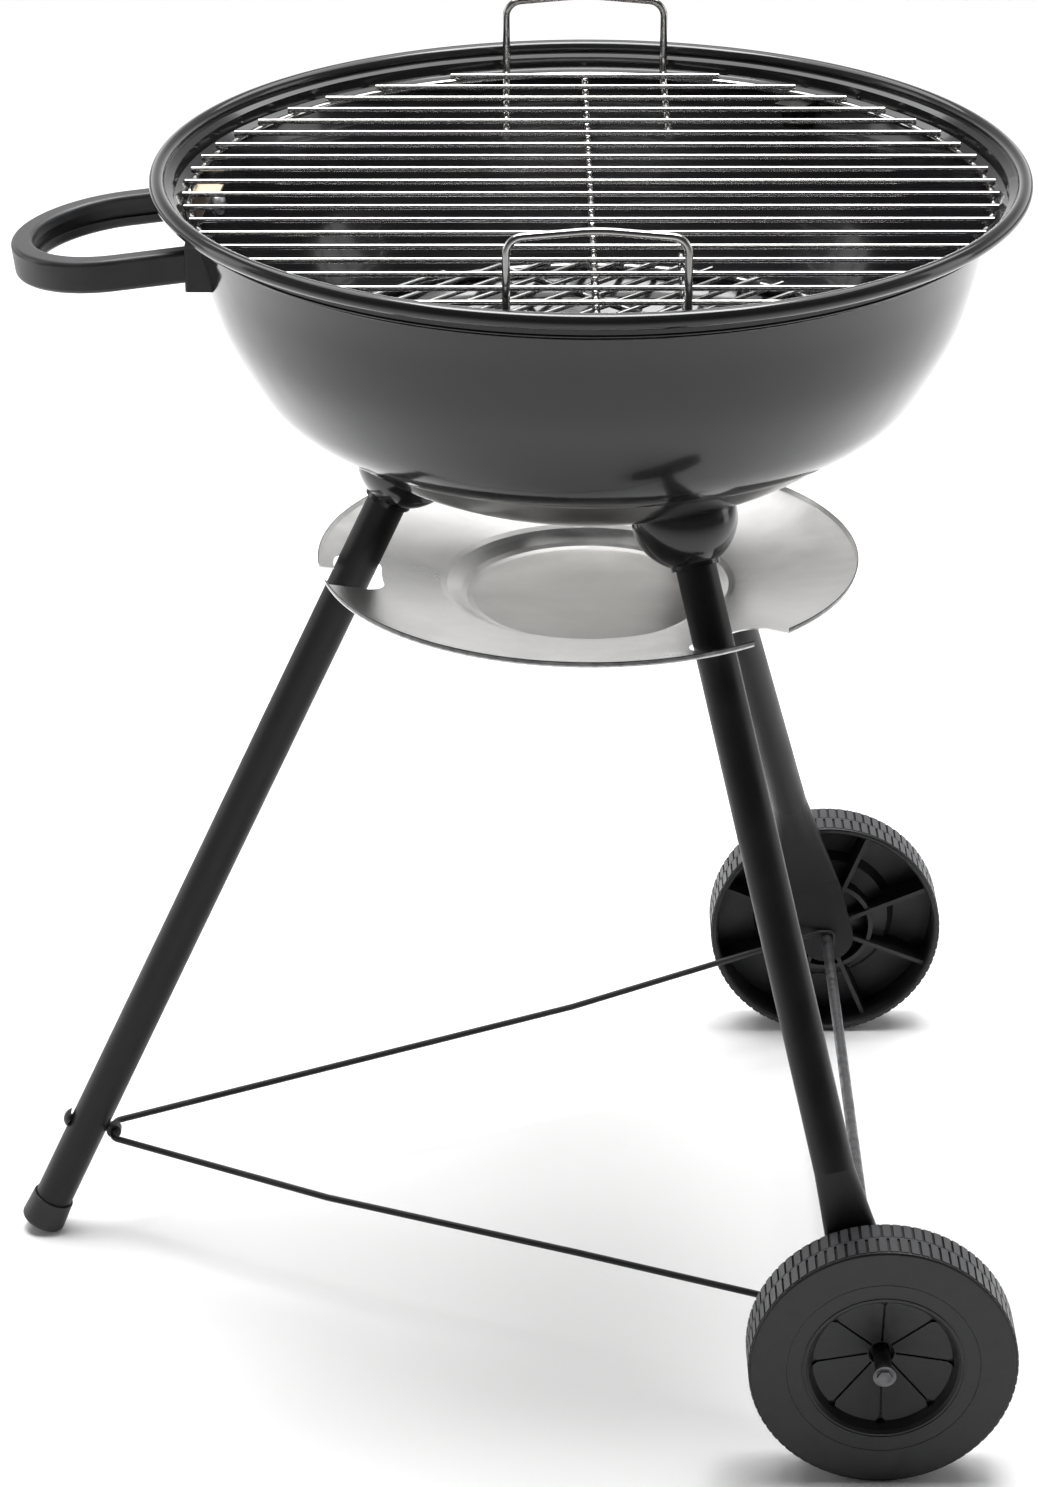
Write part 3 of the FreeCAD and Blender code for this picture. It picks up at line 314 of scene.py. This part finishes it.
MATERIALS = {
    "bowl_enamel": enamel("bowl_enamel", (0.008, 0.008, 0.0085), 0.12, 0.000015),
    "socket_enamel": enamel("socket_enamel", (0.008, 0.008, 0.009), 0.15, 0.00002),
    "leg_paint": powder_paint("leg_paint", (0.007, 0.007, 0.0075), 0.42),
    "plug_plastic": moulded_plastic("plug_plastic", (0.02, 0.02, 0.02), 0.5, 0.00003),
    "zinc_fasteners": plated_steel("zinc_fasteners", (0.6, 0.61, 0.63), 0.3),
    "black_fasteners": powder_paint("black_fasteners", (0.014, 0.014, 0.014), 0.35),
    "foot_plastic": moulded_plastic("foot_plastic", (0.016, 0.016, 0.016), 0.48, 0.00004),
    "brace_paint": powder_paint("brace_paint", (0.014, 0.014, 0.015), 0.38),
    "axle_steel": plated_steel("axle_steel", (0.13, 0.13, 0.135), 0.42),
    "wheel_plastic": tyre_plastic("wheel_plastic", (0.014, 0.014, 0.015), 0.46),
    "tray_zinc": galvanised_sheet("tray_zinc"),
    "handle_plastic": moulded_plastic("handle_plastic", (0.014, 0.014, 0.015), 0.36, 0.00003),
    "tab_zinc": tab_steel("tab_zinc"),
    "grate_chrome": chrome_wire("grate_chrome", (0.46, 0.455, 0.45), 0.12, (0.36, 0.35, 0.335)),
    "coal_grate_steel": chrome_wire("coal_grate_steel", (0.5, 0.5, 0.5), 0.2, (0.4, 0.39, 0.38)),
}


def paint_cad_nodes():
    """Gives each CAD node the material of its slot."""
    slots = {part["node"]: part["material_slot"] for part in frame["record"]["subparts"]}
    for name, node in nodes.items():
        material = MATERIALS[slots[name]]
        if not node.data.materials:
            node.data.materials.append(material)
        for i in range(len(node.data.materials)):
            node.data.materials[i] = material


# ---------------------------------------------------------------- small details

def lump(mesh, centre, along, half_size, seed):
    """Adds one weld nugget: a low, uneven pillow drawn out along a wire."""
    half_length, half_width, half_height = half_size
    across = Vector((0.0, 0.0, 1.0)).cross(along).normalized()
    up = along.cross(across)
    rows, columns = 6, 10
    rings = []
    for i in range(1, rows):
        a = math.pi * i / rows
        ring = []
        for j in range(columns):
            b = 2.0 * math.pi * j / columns
            swell = 1.0 + 0.12 * math.sin(3.0 * b + seed * 1.7) * math.sin(a)
            swell += 0.07 * math.cos(2.0 * a + seed)
            point = along * (half_length * math.cos(a) * swell)
            point += across * (half_width * math.sin(a) ** 0.8 * math.cos(b) * swell)
            point += up * (half_height * math.sin(a) ** 0.8 * math.sin(b) * swell)
            ring.append(mesh.verts.new(centre + point))
        rings.append(ring)
    ends = [mesh.verts.new(centre + along * half_length), mesh.verts.new(centre - along * half_length)]
    for j in range(columns):
        k = (j + 1) % columns
        mesh.faces.new((ends[0], rings[0][j], rings[0][k]))
        mesh.faces.new((ends[1], rings[-1][k], rings[-1][j]))
        for low, high in zip(rings, rings[1:]):
            mesh.faces.new((low[j], high[j], high[k], low[k]))


def finish_piece(mesh, name, body, slot):
    """Turns a bmesh into a smooth piece that rides on a body."""
    bmesh.ops.recalc_face_normals(mesh, faces=mesh.faces)
    data = bpy.data.meshes.new(name)
    mesh.to_mesh(data)
    mesh.free()
    for polygon in data.polygons:
        polygon.use_smooth = True
    piece = bpy.data.objects.new(name, data)
    bpy.context.scene.collection.objects.link(piece)
    data.materials.append(MATERIALS[slot])
    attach(piece, body)
    return piece


def ring_of(node):
    """Middle, middle radius and wire radius of a level wire ring."""
    low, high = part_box(node)
    wire = (high.z - low.z) / 2
    return Vector(((low.x + high.x) / 2, 0.0, (low.z + high.z) / 2)), (high.x - low.x) / 2 - wire, wire


def make_grate_welds():
    """Nuggets where bars cross rings, spine and cross wires."""
    mesh = bmesh.new()
    centre, radius, wire = ring_of("cooking_ring")
    contact = centre + Vector((0.0, 0.0, wire))
    for i in range(COOKING_BARS):
        y = (i - (COOKING_BARS - 1) / 2) * COOKING_PITCH
        x = math.sqrt(radius ** 2 - y ** 2)
        for side in (-1, 1):
            lump(mesh, contact + Vector((side * x, y, 0.0)), Vector((1, 0, 0)), RING_WELD, i + side)
        lump(mesh, contact + Vector((0.0, y, 0.0)), Vector((0, 1, 0)), SPINE_WELD, i + 0.4)
    finish_piece(mesh, "cooking_grate_welds", "cooking_grate", "grate_chrome")
    mesh = bmesh.new()
    centre, radius, wire = ring_of("charcoal_ring")
    contact = centre + Vector((0.0, 0.0, wire))
    turn = Matrix.Rotation(math.radians(CHARCOAL_TURN), 3, "Z")
    along = turn @ Vector((1, 0, 0))
    for i in range(CHARCOAL_BARS):
        y = (i - (CHARCOAL_BARS - 1) / 2) * CHARCOAL_PITCH
        x = math.sqrt(radius ** 2 - y ** 2)
        places = [-x, x] + [c for c in (-CHARCOAL_CROSS, CHARCOAL_CROSS) if x > CHARCOAL_CROSS + 0.004]
        for j, at in enumerate(places):
            lump(mesh, contact + turn @ Vector((at, y, 0.0)), along, CHARCOAL_WELD, i * 1.3 + j)
    finish_piece(mesh, "charcoal_grate_welds", "charcoal_grate", "coal_grate_steel")


def make_rim_skin():
    """Enamel over the rolled rim, finely divided so that its long highlights run clean."""
    radius = (bowl_high.x - bowl_low.x) / 2 - RIM_WIRE
    centre = AXIS + Vector((0.0, 0.0, bowl_high.z - RIM_WIRE))
    thick = RIM_WIRE + RIM_SKIN
    mesh = bmesh.new()
    steps, sides = 360, 32
    rings = []
    for i in range(steps):
        a = 2.0 * math.pi * i / steps
        outward = Vector((math.cos(a), math.sin(a), 0.0))
        ring = []
        for j in range(sides):
            b = 2.0 * math.pi * j / sides
            level = Vector((0.0, 0.0, thick * math.sin(b)))
            ring.append(mesh.verts.new(centre + outward * (radius + thick * math.cos(b)) + level))
        rings.append(ring)
    for first, second in zip(rings, rings[1:] + rings[:1]):
        for j in range(sides):
            k = (j + 1) % sides
            mesh.faces.new((first[j], first[k], second[k], second[j]))
    finish_piece(mesh, "bowl_rim_skin", "frame", "bowl_enamel")


# ---------------------------------------------------------------- studio

def make_floor():
    """Plain pale floor."""
    mesh = bmesh.new()
    bmesh.ops.create_grid(mesh, x_segments=1, y_segments=1, size=60.0)
    data = bpy.data.meshes.new("floor")
    mesh.to_mesh(data)
    mesh.free()
    floor = bpy.data.objects.new("floor", data)
    bpy.context.scene.collection.objects.link(floor)
    material, tree, shader = new_material("floor_paint", (0.93, 0.93, 0.93), 0.6)
    tree.links.new(spread(tree, noise(tree, place(tree), 0.4), 0.55, 0.65), shader.inputs["Roughness"])
    data.materials.append(material)


def area_light(name, centre, target, width, height, power):
    """Rectangular soft light that faces a point."""
    data = bpy.data.lights.new(name, "AREA")
    data.shape = "RECTANGLE"
    data.size = width
    data.size_y = height
    data.energy = power
    light = bpy.data.objects.new(name, data)
    light.location = centre
    light.rotation_euler = (Vector(target) - Vector(centre)).to_track_quat("-Z", "Y").to_euler()
    bpy.context.scene.collection.objects.link(light)


def make_lights():
    """Softboxes above and beside, and a room that is bright at the horizon and dark towards the camera."""
    for light in LIGHTS:
        area_light(*light)
    world = bpy.data.worlds.new("room")
    world.use_nodes = True
    bpy.context.scene.world = world
    tree = world.node_tree
    background = tree.nodes["Background"]
    coordinates = tree.nodes.new("ShaderNodeTexCoord")
    split = tree.nodes.new("ShaderNodeSeparateXYZ")
    tree.links.new(coordinates.outputs["Generated"], split.inputs["Vector"])
    room = tree.nodes.new("ShaderNodeMath")
    room.operation = "MULTIPLY"
    (front, front_y), (back, back_y) = ROOM_FRONT, ROOM_BACK
    (low, low_z), (high, high_z) = ROOM_HORIZON, ROOM_CEILING
    tree.links.new(spread(tree, split.outputs["Y"], front, back, front_y, back_y), room.inputs[0])
    tree.links.new(spread(tree, split.outputs["Z"], low, high, low_z, high_z), room.inputs[1])
    tree.links.new(room.outputs["Value"], background.inputs["Color"])


def make_camera():
    """Camera at the photograph's place and angle."""
    data = bpy.data.cameras.new("camera")
    data.lens = CAMERA_LENS
    data.clip_end = 100.0
    camera = bpy.data.objects.new("camera", data)
    camera.location = CAMERA_AT
    camera.rotation_euler = (math.radians(90.0 - CAMERA_DOWN), 0.0, math.radians(CAMERA_TURN))
    bpy.context.scene.collection.objects.link(camera)
    bpy.context.scene.camera = camera
    bpy.context.scene.view_settings.view_transform = "Standard"


paint_cad_nodes()
make_grate_welds()
make_rim_skin()
make_floor()
make_lights()
make_camera()
